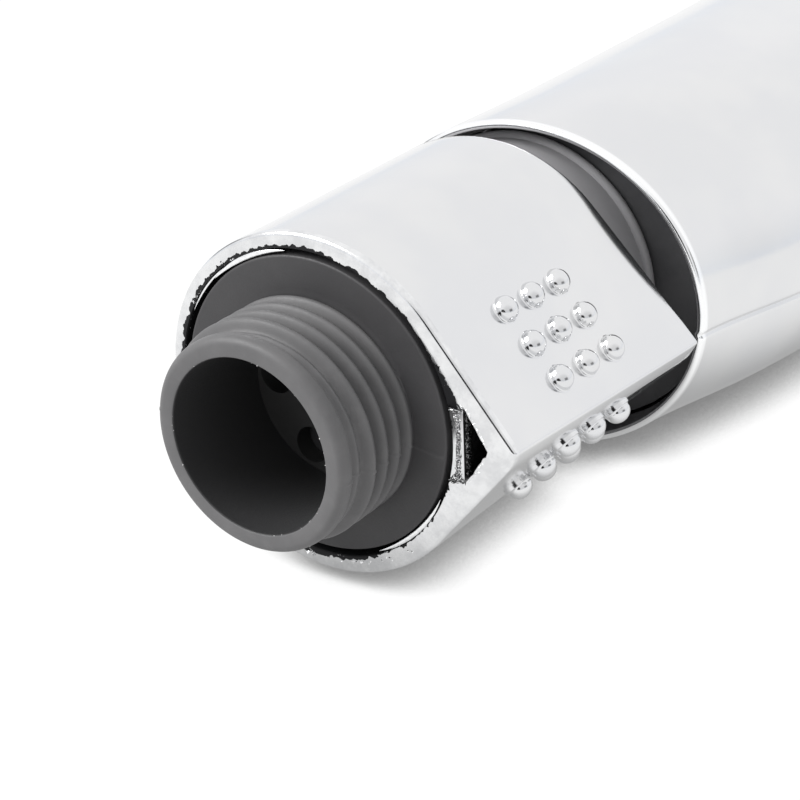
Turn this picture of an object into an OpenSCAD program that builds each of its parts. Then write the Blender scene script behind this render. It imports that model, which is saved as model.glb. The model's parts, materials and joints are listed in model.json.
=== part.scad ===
// Handheld bath sprayer: G1/2 inlet, rotating teardrop control collar, two-shell
// handle and an elongated spray head. Millimetres.
// The origin is the centre of the inlet mouth. +Y runs along the inlet axis towards
// the head, +X is the spray-face and lever side, +Z is up with the sprayer on its side.

/* [Inlet] */
// Radius over the thread crests (G1/2)
thread_r = 10.4775; // [10.4775]
// Radius at the thread roots
thread_root_r = 9.68; // [9.5:0.01:9.8]
// Thread pitch (G1/2, 14 threads per inch)
thread_pitch = 1.814; // [1.814]
// Distance from the mouth to the first crest
thread_start = 3.6; // [3.2:0.1:3.8]
// Radius of the inlet bore
inlet_bore_r = 8.1; // [7.8:0.05:8.3]
// Depth of the open inlet bore, down to the strainer
inlet_depth = 12; // [10:0.5:13]

/* [Valve core] */
// Distance from the mouth to the core's front face
core_front = 9.47; // [9.4:0.01:9.6]
// Outer radius of the core that the collar turns on
core_r = 13.88; // [13.8:0.01:13.95]
// Rear end of the core, inside the handle
core_rear = 60; // [58:1:62]
// Radius of the valve chamber in the core
chamber_r = 11.2; // [11:0.05:11.4]

/* [Control collar] */
// Distance from the mouth to the collar's front face
collar_front = 9.45; // [9.3:0.05:9.45]
// Length of the collar along the axis
collar_length = 29; // [28:0.5:30]
// Radius of the collar's round part
collar_r = 15.9; // [15.7:0.1:16.2]
// Reach of the lever corner at the front face
corner_front = 20.8; // [20:0.1:22]
// Reach of the lever corner at the rear face
corner_rear = 22.35; // [21:0.05:24]
// Radius of the edge at the lever corner
corner_edge_r = 1; // [0.8:0.1:1.5]
// Radius of the opening seen at the collar's front
collar_mouth_r = 14.45; // [14.3:0.05:14.6]
// Width of each edge bevel of the collar
collar_bevel = 1.2; // [0.8:0.1:1.6]
// Turn of the collar between shut and fully open
collar_turn = 90; // [60:5:90]

/* [Grip domes] */
// Number of domes along each direction of a flat
dome_count = 3; // [2:1:3]
// Spacing of the domes along the axis
dome_pitch_y = 4.04; // [3.5:0.05:4.2]
// Spacing of the domes across the flat
dome_pitch_s = 3.74; // [3.2:0.05:4]
// Radius of each dome at the flat
dome_r = 1.25; // [1:0.05:1.4]
// Height of each dome over the flat
dome_h = 1.1; // [0.8:0.05:1.2]
// Distance from the mouth to the middle of the dome grid
dome_mid_y = 23.7; // [22:0.1:25]
// Distance from the rounded lever corner to the middle of the dome grid, along the flat
dome_mid_s = 6.75; // [6.5:0.05:7]

/* [Handle] */
// Distance from the mouth to the handle's rim
rim_y = 42; // [41.5:0.1:43]
// Back of the handle, behind the inlet axis
back_x = -16; // [-17:0.1:-15.5]
// Front of the handle at its rim
rim_front_x = 21; // [20:0.1:22]
// Front of the handle at the swell under the fingers
swell_front_x = 27.4; // [26:0.1:29]
// Front of the handle at its neck
neck_front_x = 25; // [24:0.1:27]
// Half of the handle's thickness at its rim
rim_half_z = 16.5; // [16.3:0.1:17]
// Wall of the handle shells
shell_wall = 1.5; // [1.3:0.1:1.8]
// Total length of the sprayer
total_length = 230; // [225:1:240]

/* [Spray head] */
// Half of the head's thickness
head_half_z = 17.5; // [17:0.1:18]
// Tilt of the spray face towards the tip, in degrees
face_tilt = 11; // [8:1:13]
// Distance from the mouth to the middle of the spray face
face_mid_y = 179; // [177:1:181]
// Height of the middle of the spray face over the inlet axis
face_mid_x = 22.3; // [21.5:0.1:23]
// Straight length of the obround spray plate
plate_straight = 56; // [50:1:58]
// Half of the width of the spray plate
plate_r = 10.9; // [10:0.1:11]
// Rows of spray tips along the plate
tip_rows = 10; // [7:1:10]
// Spacing of the rows of spray tips
tip_pitch = 6.2; // [5.5:0.1:6.2]

/* [Hidden] */
$fn = 64;

// Clearances
slip = 0.05;
film = 0.02;

// Inlet
thread_turns = 4;
crest_half = 0.25;
ridge_half = 0.75;
lip_round = 0.8;
lip_chamfer = 0.15;

// Check valve, from its front to its rear
cartridge_r = 8.6;
strainer_t = 2;
strainer_hole_r = 1.75;
strainer_hole_pcr = 6;
strainer_holes = 5;
strainer_phase = -41;
cage_y = inlet_depth + strainer_t;
cage_end = 28;
cage_wall = 1.4;
seat_t = 1.6;
seat_r = 4;
poppet_y = cage_y + seat_t;
poppet_t = 2;
poppet_r = 5.3;
poppet_stem_r = 1.55;
poppet_end = cage_end - 0.7;
spider_t = 2;
spider_hole_r = 1.3;
spider_hole_pcr = 4.2;
spring_mid_r = 2.7;
spring_wire_r = 0.35;
spring_turns = 5;

// Valve, from its front to its rear
rotor_y = 30;
rotor_end = 37;
rotor_r = chamber_r - 0.1;
rotor_ring_y = 35.9;
rotor_wire_r = 0.58;
rotor_groove_half = 0.65;
rotor_groove_depth = 1.2;
disc_t = 3;
disc_r = 9.5;
port_r = 2.6;
port_pcr = 5;
seal_end = 45;
seal_bore_r = port_pcr + port_r + 0.4;
tail_shoulder = core_rear + 0.4;
tail_end = 66;
tail_r = 9.5;
tube_r = 7;
tube_bore_r = 5.6;
tube_front = 56;
tube_rear = 152;
tube_wire_r = 0.43;
tube_groove_half = 0.55;
tube_groove_depth = 0.9;

// Drive key and its slot
key_y = 33;
key_length = 4;
key_width = 6;
key_low = 8;
key_high = 16.5;
slot_margin = 16;

// Collar
collar_rear = collar_front + collar_length;
land_front = 25.2;
land_rear = 36;
land_r = core_r + slip;
pocket_depth = 7;
pocket_low_r = 15.7;
pocket_high_r = 17.6;
pocket_half_angle = 13;
clip_t = 1;
clip_inner_r = 13.2;
clip_outer_r = 14.3;
clip_gap = 3;
clip_front_y = land_front - clip_t - 0.2;
clip_rear_y = land_rear + 0.2;
round_steps = 56;
corner_steps = 6;

// Handle and head
recess_y = 45.5;
bulkhead_t = 4;
bulkhead_inset = shell_wall + 0.1;
neck_clip_y = recess_y + bulkhead_t + 0.1;
neck_clip_r = 14.1;
neck_ring_y = 44.9;
neck_wire_r = 0.4;
cap_y = 212;
cap_length = total_length - cap_y;
ring_step = 5;
cap_steps = 6;
cap_last = 80;
side_steps = 22;
face_wall = 2;

// Face stack, measured from the face plane along its normal
bezel_lip = 0.6;
bezel_r = plate_r + 1;
bezel_flange_r = plate_r + 1.9;
bezel_depth = 2;
plate_top = -0.3;
plate_bottom = -1.6;
mat_bottom = -2.6;
gasket_bottom = -3.6;
manifold_bottom = -13;
manifold_r = plate_r + 0.6;
manifold_wall = 1.8;
socket_r = 9.2;
socket_front = 140;
socket_lead = 4;
socket_end = 162;
duct_r = 3.6;
duct_wall = 2;
duct_y = 156;
duct_block_x = 15;
duct_end_x = 22;
tube_rings = [tail_end - 3, socket_front + socket_lead];
tip_r = 1.1;
tip_bore_r = 0.45;
tip_columns = [-6.6, 0, 6.6];
tip_height = 0.8;
screw_u = plate_straight / 2 + 5;
screw_r = 1.2;
screw_length = 8;
screw_hole_end = gasket_bottom - 7;
screw_head_r = 2.2;
screw_head_t = 0.8;
screw_seat = 0.5;
drive_length = 2.8;
drive_width = 0.6;
drive_floor = 0.9;
post_r = 3;
// How far a cutter runs past the face that it opens
past = 1;

// Turns local +Z to the inlet axis, +Y
module along_axis(y) {
    translate([0, y, 0])
        rotate([-90, 0, 0])
            children();
}

// A solid of revolution on the inlet axis, from [radius, y] points
module turned(points) {
    rotate([-90, 0, 0])
        rotate_extrude($fn = 96)
            polygon(points);
}

module tube_on_axis(y0, y1, outer, inner) {
    turned([[inner, y0], [outer, y0], [outer, y1], [inner, y1]]);
}

module torus_on_axis(y, ring_r, wire_r) {
    rotate([-90, 0, 0])
        translate([0, 0, y])
            rotate_extrude($fn = 72)
                translate([ring_r, 0])
                    circle(r = wire_r, $fn = 24);
}

// A straight hole parallel to the inlet axis at a polar place
module axial_hole(y0, y1, radius, pcr, angle) {
    rotate([0, -angle, 0])
        translate([pcr, 0, 0])
            along_axis(y0)
                cylinder(r = radius, h = y1 - y0, $fn = 32);
}

function crest_y(i) = thread_start + i * thread_pitch;
function ridge_points(i) = [
    [thread_root_r, crest_y(i) - ridge_half],
    [thread_r, crest_y(i) - crest_half],
    [thread_r, crest_y(i) + crest_half],
    [thread_root_r, min(crest_y(i) + ridge_half, core_front)]
];
function lip_points() = [
    for (a = [90 : -15 : 0])
        [thread_root_r - lip_round * (1 - cos(a)), lip_round * (1 - sin(a))]
];
stem_outline = concat(
    [[inlet_bore_r + lip_chamfer, 0]],
    lip_points(),
    [for (i = [0 : thread_turns - 1]) for (p = ridge_points(i)) p],
    [[core_r, core_front], [core_r, core_rear], [chamber_r, core_rear],
     [chamber_r, cage_end], [cartridge_r, cage_end], [cartridge_r, inlet_depth],
     [inlet_bore_r, inlet_depth], [inlet_bore_r, lip_chamfer]]
);

module key_slot() {
    sweep = [for (a = [-slot_margin : 10 : collar_turn + slot_margin]) a];
    along_axis(key_y - key_length / 2 - slip)
        linear_extrude(key_length + 2 * slip)
            polygon(concat([[0, 0]],
                [for (a = concat(sweep, [collar_turn + slot_margin]))
                    [2 * core_r * cos(a), -2 * core_r * sin(a)]]));
}

module clip_groove(y) {
    tube_on_axis(y - slip, y + clip_t + slip, core_r + past, clip_inner_r);
}

module inlet_stem() {
    color("dimgray")
        difference() {
            turned(stem_outline);
            intersection() {
                key_slot();
                tube_on_axis(key_y - key_length, key_y + key_length, core_r + past,
                    chamber_r - 0.5);
            }
            clip_groove(clip_front_y);
            clip_groove(clip_rear_y);
            clip_groove(neck_clip_y);
            clip_groove(neck_ring_y - clip_t / 2);
        }
}

module strainer_plate() {
    color("dimgray")
        difference() {
            tube_on_axis(inlet_depth, cage_y, cartridge_r - slip, 0);
            for (i = [0 : strainer_holes - 1])
                axial_hole(inlet_depth - past, cage_y + past, strainer_hole_r,
                    strainer_hole_pcr, strainer_phase - i * 360 / strainer_holes);
        }
}

module check_valve_cage() {
    outer = cartridge_r - slip;
    color("dimgray")
        difference() {
            turned([[seat_r, cage_y], [outer, cage_y], [outer, cage_end - slip],
                [poppet_stem_r + slip, cage_end - slip],
                [poppet_stem_r + slip, cage_end - spider_t],
                [outer - cage_wall, cage_end - spider_t],
                [outer - cage_wall, poppet_y - film], [seat_r, poppet_y - film]]);
            for (i = [0 : strainer_holes])
                axial_hole(cage_end - spider_t - past, cage_end + past, spider_hole_r,
                    spider_hole_pcr, i * 360 / (strainer_holes + 1));
        }
}

module check_poppet() {
    color("dimgray")
        union() {
            tube_on_axis(poppet_y, poppet_y + poppet_t, poppet_r, 0);
            tube_on_axis(poppet_y + poppet_t / 2, poppet_end, poppet_stem_r, 0);
        }
}

// The spring's wire, swept along a helix between the poppet and the spider
spring_y0 = poppet_y + poppet_t + spring_wire_r + film;
spring_y1 = cage_end - spider_t - spring_wire_r - film;
spring_rings = 16 * spring_turns;
spring_sides = 8;
function helix_point(i, j) =
    let (t = i / spring_rings,
         turn = 360 * spring_turns * t,
         side = 360 * j / spring_sides,
         r = spring_mid_r + spring_wire_r * cos(side))
    [r * cos(turn), spring_y0 + (spring_y1 - spring_y0) * t
        + spring_wire_r * sin(side), r * sin(turn)];

module check_spring() {
    points = [for (i = [0 : spring_rings]) for (j = [0 : spring_sides - 1])
        helix_point(i, j)];
    walls = [for (i = [0 : spring_rings - 1]) for (j = [0 : spring_sides - 1])
        let (a = i * spring_sides + j,
             b = i * spring_sides + (j + 1) % spring_sides)
        [b, a, a + spring_sides, b + spring_sides]];
    ends = [[for (j = [0 : spring_sides - 1]) j],
        [for (j = [spring_sides - 1 : -1 : 0]) spring_rings * spring_sides + j]];
    color("silver")
        polyhedron(points, concat(walls, ends));
}

// One outline of the collar: a round with a tangent, rounded corner towards +X
function teardrop(y, radius, corner) =
    let (e = corner_edge_r, tangent = acos((radius - e) / (corner - e)))
    concat(
        [for (i = [0 : round_steps])
            let (a = tangent + (360 - 2 * tangent) * i / round_steps)
            [radius * cos(a), y, radius * sin(a)]],
        [for (i = [0 : corner_steps])
            let (a = -tangent + 2 * tangent * i / corner_steps)
            [corner - e + e * cos(a), y, e * sin(a)]]);

module collar_blank() {
    b = collar_bevel;
    h = collar_bevel / 2;
    rings = [
        teardrop(collar_front, collar_r - b, corner_front - b),
        teardrop(collar_front + b, collar_r, corner_front),
        teardrop(collar_rear - h, collar_r, corner_rear),
        teardrop(collar_rear, collar_r - h, corner_rear - h)
    ];
    n = len(rings[0]);
    walls = [for (i = [0 : len(rings) - 2]) for (j = [0 : n - 1])
        let (k = (j + 1) % n)
        for (t = cell(i * n + j, i * n + k, (i + 1) * n + k, (i + 1) * n + j, true)) t];
    ends = [[for (j = [n - 1 : -1 : 0]) j],
        [for (j = [0 : n - 1]) (len(rings) - 1) * n + j]];
    polyhedron([for (r = rings) for (p = r) p], concat(walls, ends));
}

// Places the local XY plane on a flat of the collar, with its local X running
// from the lever corner back along the flat and its local Y along the axis
corner_mid = corner_front
    + (corner_rear - corner_front) * (dome_mid_y - collar_front) / collar_length;
flat_drop = collar_r - corner_edge_r;
flat_angle = acos(flat_drop / (corner_mid - corner_edge_r));
flat_run = sqrt(pow(corner_mid - corner_edge_r, 2) - pow(flat_drop, 2));
module on_flat(side) {
    rotate([0, -side * flat_angle, 0])
        translate([collar_r, dome_mid_y, side * (dome_mid_s - flat_run)])
            children();
}

module grip_domes(side) {
    sphere_r = (pow(dome_r, 2) + pow(dome_h, 2)) / (2 * dome_h);
    mid = (dome_count - 1) / 2;
    for (i = [0 : dome_count - 1])
        for (j = [0 : dome_count - 1])
            on_flat(side)
                translate([dome_h - sphere_r, (i - mid) * dome_pitch_y,
                    (j - mid) * dome_pitch_s])
                    sphere(r = sphere_r, $fn = 24);
}

module corner_pocket() {
    x0 = pocket_low_r * cos(pocket_half_angle);
    z0 = pocket_low_r * sin(pocket_half_angle);
    along_axis(collar_front - past)
        linear_extrude(pocket_depth + past)
            polygon([[x0, z0], [x0, -z0], [pocket_high_r, 0]]);
}

module collar_bore() {
    turned([[0, collar_front - past], [collar_mouth_r, collar_front - past],
        [collar_mouth_r, land_front], [land_r, land_front], [land_r, land_rear],
        [collar_mouth_r, land_rear], [collar_mouth_r, collar_rear + past],
        [0, collar_rear + past]]);
}

module control_collar() {
    color("gainsboro")
        difference() {
            union() {
                collar_blank();
                grip_domes(1);
                grip_domes(-1);
            }
            collar_bore();
            corner_pocket();
            translate([land_r / 2, key_y - key_length / 2, -key_width / 2])
                cube([key_high - land_r / 2, key_length, key_width]);
        }
}

// A snap ring in a groove of the core, with its gap at the back
module clip_ring(y, outer = clip_outer_r) {
    color("silver")
        difference() {
            tube_on_axis(y, y + clip_t, outer, clip_inner_r + slip);
            translate([-clip_outer_r - past, y - past, -clip_gap / 2])
                cube([clip_gap + past, clip_t + 2 * past, clip_gap]);
        }
}

module collar_clip_front() {
    clip_ring(clip_front_y);
}

module collar_clip_rear() {
    clip_ring(clip_rear_y);
}

module drive_key() {
    color("silver")
        translate([key_low, key_y - key_length / 2, -key_width / 2])
            cube([key_high - key_low, key_length, key_width]);
}

module ports(y0, y1, start) {
    for (a = [start, start + 180])
        axial_hole(y0, y1, port_r, port_pcr, a);
}

module valve_rotor() {
    color("white")
        difference() {
            tube_on_axis(rotor_y, rotor_end, rotor_r, 0);
            ports(rotor_y - past, rotor_end + past, 90);
            tube_on_axis(rotor_ring_y - rotor_groove_half, rotor_ring_y + rotor_groove_half,
                rotor_r + past, rotor_r - rotor_groove_depth);
            translate([key_low, key_y - key_length / 2, -key_width / 2])
                cube([rotor_r, key_length, key_width]);
        }
}

module rotor_o_ring() {
    color("black")
        torus_on_axis(rotor_ring_y, rotor_r - rotor_groove_depth / 2, rotor_wire_r);
}

module ceramic_disc_moving() {
    color("linen")
        difference() {
            tube_on_axis(rotor_end, rotor_end + disc_t, disc_r, 0);
            ports(rotor_end - past, rotor_end + disc_t + past, 90);
        }
}

module ceramic_disc_fixed() {
    color("linen")
        difference() {
            tube_on_axis(rotor_end + disc_t + film, rotor_end + 2 * disc_t, chamber_r - slip, 0);
            ports(rotor_end + past, rotor_end + 2 * disc_t + past, 0);
        }
}

module disc_seal() {
    color("black")
        tube_on_axis(rotor_end + 2 * disc_t, seal_end, chamber_r - slip, seal_bore_r);
}

// Outlet of the valve: a plug in the core with a socket for the water tube
module valve_tailpiece() {
    color("whitesmoke")
        turned([[tube_bore_r, seal_end], [chamber_r - slip, seal_end],
            [chamber_r - slip, tail_shoulder], [tail_r, tail_shoulder],
            [tail_r, tail_end], [tube_r + slip, tail_end],
            [tube_r + slip, tube_front], [tube_bore_r, tube_front]]);
}

module neck_o_ring() {
    color("black")
        torus_on_axis(neck_ring_y, clip_inner_r + slip + neck_wire_r, neck_wire_r);
}

// Cubic curve through values a, b, c, d, between b and c
function cubic(a, b, c, d, t) =
    b + 0.5 * t * (c - a + t * (2 * a - 5 * b + 4 * c - d + t * (3 * (b - c) + d - a)));
// A smooth curve through [y, value] knots
function through(knots, y, i = 0) =
    (i < len(knots) - 2 && y > knots[i + 1][0]) ? through(knots, y, i + 1) :
    let (last = len(knots) - 1, b = knots[i], c = knots[i + 1],
         t = (y - b[0]) / (c[0] - b[0]))
    cubic(knots[max(i - 1, 0)][1], b[1], c[1], knots[min(i + 2, last)][1], t);

front_knots = [[42, rim_front_x], [58, 24.6], [74, 27.1], [90, swell_front_x],
    [106, 26.3], [122, neck_front_x + 1.5], [136, 31], [150, 33.5], [166, 32.5],
    [182, 29.5], [198, 26], [cap_y, 22]];
half_z_knots = [[42, rim_half_z], [74, rim_half_z], [106, 15.8], [122, 16],
    [138, 17], [154, head_half_z], [182, head_half_z], [cap_y, head_half_z - 0.6]];
power_knots = [[42, 2], [74, 2.15], [106, 2.4], [138, 2.8], [170, 3], [cap_y, 2.8]];
back_knots = [[42, back_x], [150, back_x], [182, back_x], [cap_y, back_x + 1.2]];

// The face plane, and the front of the head cut back to it
function face_x(y) = face_mid_x - (y - face_mid_y) * tan(face_tilt);

// One station: [y, middle x, half width in x, half thickness in z, power]
function station(y) =
    let (f = through(front_knots, y), b = through(back_knots, y))
    [y, (f + b) / 2, (f - b) / 2, through(half_z_knots, y), through(power_knots, y)];
function cap_station(angle, inset) =
    let (s = station(cap_y))
    [cap_y + (cap_length - inset) * sin(angle), s[1],
        (s[2] - inset) * cos(angle) + inset, (s[3] - inset) * cos(angle) + inset, s[4]];
body_ys = [for (y = [rim_y : ring_step : cap_y - 1]) y];
cap_angles = [for (i = [0 : cap_steps]) cap_last * i / cap_steps];
function stations(inset) = concat(
    [for (y = body_ys) station(y)],
    [for (a = cap_angles) cap_station(a, inset)]
);

// A point on a station's outline, cut back to the spray face
function signed_pow(v, p) = sign(v) * pow(abs(v), p);
function outline_point(s, inset, angle, limit) =
    let (p = 2 / s[4],
         x = s[1] + (s[2] - inset) * signed_pow(cos(angle), p),
         z = (s[3] - inset) * signed_pow(sin(angle), p))
    [min(x, face_x(s[0]) - limit), s[0], abs(z) < 0.001 ? 0 : z];
function half_ring(s, inset, side, limit) =
    [for (j = [0 : side_steps]) outline_point(s, inset, side * 180 * j / side_steps, limit)];

// Two triangles for each cell of a grid of rings, a rings apart from b
function cell(a, b, c, d, flip) =
    flip ? [[a, b, c], [a, c, d]] : [[c, b, a], [d, c, a]];

module shell_half(side) {
    outer = stations(0);
    inner = stations(shell_wall);
    rings = len(outer);
    across = side_steps + 1;
    total = rings * across;
    flip = side > 0;
    points = concat(
        [for (s = outer) for (p = half_ring(s, 0, side, 0)) p],
        [for (s = inner) for (p = half_ring(s, shell_wall, side, face_wall)) p]);
    skins = [for (i = [0 : rings - 2]) for (j = [0 : side_steps - 1])
        let (a = i * across + j)
        for (t = concat(cell(a, a + 1, a + across + 1, a + across, flip),
            cell(total + a, total + a + 1, total + a + across + 1,
                total + a + across, !flip))) t];
    rim = [for (j = [0 : side_steps - 1])
        for (t = cell(j, total + j, total + j + 1, j + 1, flip)) t];
    edges = [for (i = [0 : rings - 2]) for (j = [0, side_steps])
        let (a = i * across + j, out = (j == 0) ? flip : !flip)
        for (t = cell(a, a + across, total + a + across, total + a, out)) t];
    last = (rings - 1) * across;
    tip_out = [for (j = [1 : side_steps - 1])
        flip ? [last, last + j, last + j + 1] : [last + j + 1, last + j, last]];
    tip_in = [for (j = [1 : side_steps - 1])
        flip ? [total + last + j + 1, total + last + j, total + last]
            : [total + last, total + last + j, total + last + j + 1]];
    seam = cell(last, last + side_steps, total + last + side_steps, total + last, flip);
    color("gainsboro")
        difference() {
            polyhedron(points, concat(skins, rim, edges, tip_out, tip_in, seam));
            on_face(-face_wall - past)
                linear_extrude(face_wall + 4 * past)
                    obround(bezel_r + slip);
        }
}

module shell_upper() {
    shell_half(1);
}

module shell_lower() {
    shell_half(-1);
}

// Local +Z is the spray face's normal, local +Y runs along the face to the tip
module on_face(height) {
    translate([face_mid_x, face_mid_y, 0])
        rotate([0, 0, face_tilt])
            rotate([0, 90, 0])
                translate([0, 0, height])
                    children();
}

module obround(radius) {
    union() {
        for (v = [-1, 1])
            translate([0, v * plate_straight / 2])
                circle(r = radius, $fn = 64);
        square([2 * radius, plate_straight], center = true);
    }
}

// Closes the handle's mouth behind the recess, around the core
module neck_bulkhead() {
    y0 = recess_y;
    y1 = recess_y + bulkhead_t;
    ring_count = 2 * side_steps;
    sections = [station(y0), station(y1)];
    points = [for (s = sections) for (j = [0 : ring_count - 1])
        outline_point(s, bulkhead_inset, 360 * j / ring_count, 0)];
    walls = [for (j = [0 : ring_count - 1])
        let (k = (j + 1) % ring_count)
        [j, k, k + ring_count, j + ring_count]];
    ends = [[for (j = [ring_count - 1 : -1 : 0]) j],
        [for (j = [0 : ring_count - 1]) ring_count + j]];
    color("dimgray")
        difference() {
            polyhedron(points, concat(walls, ends));
            tube_on_axis(y0 - past, y1 + past, core_r + slip, 0);
        }
}

module neck_clip() {
    clip_ring(neck_clip_y, neck_clip_r);
}

module water_tube() {
    color("white")
        difference() {
            tube_on_axis(tube_front + slip, tube_rear, tube_r, tube_bore_r);
            for (y = tube_rings)
                tube_on_axis(y - tube_groove_half, y + tube_groove_half,
                    tube_r + past, tube_r - tube_groove_depth);
        }
}

module tube_o_ring(y) {
    color("black")
        torus_on_axis(y, tube_r - tube_groove_depth / 2, tube_wire_r);
}

module tube_o_ring_front() {
    tube_o_ring(tube_rings[0]);
}

module tube_o_ring_rear() {
    tube_o_ring(tube_rings[1]);
}

// Water chamber under the spray plate, with a socket for the water tube
module head_manifold() {
    depth = gasket_bottom - manifold_bottom;
    block_y = socket_front + socket_lead;
    block_half = duct_r + duct_wall;
    color("dimgray")
        difference() {
            union() {
                on_face(manifold_bottom)
                    linear_extrude(depth)
                        obround(manifold_r);
                tube_on_axis(socket_front, socket_end, socket_r, 0);
                translate([0, block_y, -block_half])
                    cube([duct_block_x, socket_end - block_y, 2 * block_half]);
            }
            difference() {
                on_face(manifold_bottom + manifold_wall)
                    linear_extrude(depth)
                        obround(manifold_r - manifold_wall);
                for (v = [-1, 1])
                    on_face(manifold_bottom)
                        translate([0, v * screw_u, 0])
                            cylinder(r = post_r, h = depth);
            }
            tube_on_axis(socket_front - past, tube_rear + slip, tube_r + slip, 0);
            tube_on_axis(socket_front, duct_y + duct_r, tube_bore_r, 0);
            translate([0, duct_y, 0])
                rotate([0, 90, 0])
                    cylinder(r = duct_r, h = duct_end_x);
            for (v = [-1, 1])
                on_face(screw_hole_end)
                    translate([0, v * screw_u, 0])
                        cylinder(r = screw_r + slip, h = gasket_bottom - screw_hole_end + 3 * past);
        }
}

module face_gasket() {
    color("black")
        on_face(gasket_bottom)
            linear_extrude(mat_bottom - gasket_bottom)
                difference() {
                    obround(manifold_r - 0.2);
                    obround(manifold_r - manifold_wall);
                }
}

// Places one child at every spray tip
module each_tip() {
    for (row = [0 : tip_rows - 1])
        for (x = tip_columns)
            translate([x, (row - (tip_rows - 1) / 2) * tip_pitch, 0])
                children();
}

module each_screw() {
    for (v = [-1, 1])
        translate([0, v * screw_u, 0])
            children();
}

module nozzle_mat() {
    color("lightslategray")
        on_face(mat_bottom)
            difference() {
                union() {
                    linear_extrude(plate_bottom - mat_bottom)
                        obround(plate_r - 0.1);
                    each_tip()
                        cylinder(r = tip_r, h = plate_top + tip_height - mat_bottom,
                            $fn = 24);
                }
                each_tip()
                    translate([0, 0, -past])
                        cylinder(r = tip_bore_r, h = 6 * past, $fn = 16);
                each_screw()
                    translate([0, 0, -past])
                        cylinder(r = screw_r + slip, h = 4, $fn = 32);
            }
}

module spray_plate() {
    color("dimgray")
        on_face(plate_bottom)
            difference() {
                linear_extrude(plate_top - plate_bottom)
                    obround(plate_r - slip);
                each_tip()
                    translate([0, 0, -past])
                        cylinder(r = tip_r + slip, h = 4, $fn = 24);
                each_screw()
                    translate([0, 0, -past])
                        cylinder(r = screw_r + slip, h = 4, $fn = 32);
                each_screw()
                    translate([0, 0, screw_seat])
                        cylinder(r = screw_head_r + slip, h = 4, $fn = 32);
            }
}

module face_bezel() {
    color("gainsboro")
        on_face(-bezel_depth)
            difference() {
                union() {
                    linear_extrude(bezel_depth + bezel_lip)
                        obround(bezel_r);
                    translate([0, 0, bezel_depth + film])
                        linear_extrude(bezel_lip - film)
                            obround(bezel_flange_r);
                }
                translate([0, 0, -past])
                    linear_extrude(bezel_depth + bezel_lip + 2 * past)
                        obround(plate_r);
            }
}

module face_screw(v) {
    color("silver")
        on_face(plate_bottom)
            translate([0, v * screw_u, 0])
                difference() {
                    union() {
                        translate([0, 0, screw_seat])
                            cylinder(r = screw_head_r, h = screw_head_t, $fn = 32);
                        translate([0, 0, -screw_length])
                            cylinder(r = screw_r, h = screw_length + screw_seat + slip, $fn = 32);
                    }
                    for (a = [0, 90])
                        rotate([0, 0, a])
                            translate([-drive_length / 2, -drive_width / 2, drive_floor])
                                cube([drive_length, drive_width, past]);
                }
}

module face_screw_near() {
    face_screw(-1);
}

module face_screw_far() {
    face_screw(1);
}

inlet_stem();
strainer_plate();
check_valve_cage();
check_poppet();
check_spring();
control_collar();
collar_clip_front();
collar_clip_rear();
drive_key();
valve_rotor();
rotor_o_ring();
ceramic_disc_moving();
ceramic_disc_fixed();
disc_seal();
valve_tailpiece();
neck_o_ring();
neck_bulkhead();
neck_clip();
shell_upper();
shell_lower();
water_tube();
tube_o_ring_front();
tube_o_ring_rear();
head_manifold();
face_gasket();
nozzle_mat();
spray_plate();
face_bezel();
face_screw_near();
face_screw_far();
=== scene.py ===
"""Looks of the handheld bath sprayer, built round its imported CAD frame.

Shapes are worked out in millimetres in the CAD frame (+Y along the inlet axis, +X
towards the lever corner, +Z up) and scaled to metres when a mesh is made.
"""

import functools
import json
import math
import bpy
import bmesh
import numpy as np
from mathutils import Matrix, Vector

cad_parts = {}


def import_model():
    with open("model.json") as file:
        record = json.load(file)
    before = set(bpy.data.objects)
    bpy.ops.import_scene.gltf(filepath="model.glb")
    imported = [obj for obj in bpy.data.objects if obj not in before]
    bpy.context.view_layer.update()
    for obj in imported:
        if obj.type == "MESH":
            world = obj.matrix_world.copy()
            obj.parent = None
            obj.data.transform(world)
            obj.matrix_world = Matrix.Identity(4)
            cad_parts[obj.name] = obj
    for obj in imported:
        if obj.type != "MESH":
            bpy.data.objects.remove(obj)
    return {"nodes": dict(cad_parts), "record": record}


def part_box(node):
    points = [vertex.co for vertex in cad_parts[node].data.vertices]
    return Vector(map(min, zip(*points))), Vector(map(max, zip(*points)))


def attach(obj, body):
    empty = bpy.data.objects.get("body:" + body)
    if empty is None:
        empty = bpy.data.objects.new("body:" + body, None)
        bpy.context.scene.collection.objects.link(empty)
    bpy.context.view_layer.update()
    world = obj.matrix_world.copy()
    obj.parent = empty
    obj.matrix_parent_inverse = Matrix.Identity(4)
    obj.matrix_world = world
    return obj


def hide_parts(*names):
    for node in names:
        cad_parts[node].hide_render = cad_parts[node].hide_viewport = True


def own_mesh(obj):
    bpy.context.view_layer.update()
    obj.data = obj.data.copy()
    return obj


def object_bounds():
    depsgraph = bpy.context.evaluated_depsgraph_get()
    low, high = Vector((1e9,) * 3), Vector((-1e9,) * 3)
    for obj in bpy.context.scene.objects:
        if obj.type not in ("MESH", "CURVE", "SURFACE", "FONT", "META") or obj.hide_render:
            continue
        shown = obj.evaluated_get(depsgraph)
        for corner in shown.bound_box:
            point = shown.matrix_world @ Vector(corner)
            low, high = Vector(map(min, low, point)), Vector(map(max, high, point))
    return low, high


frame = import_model()
CAD_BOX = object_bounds()
MM = 0.001
MOUNTS = {m["name"]: m for m in frame["record"]["mounts"]}
RNG = np.random.default_rng(7)

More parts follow.
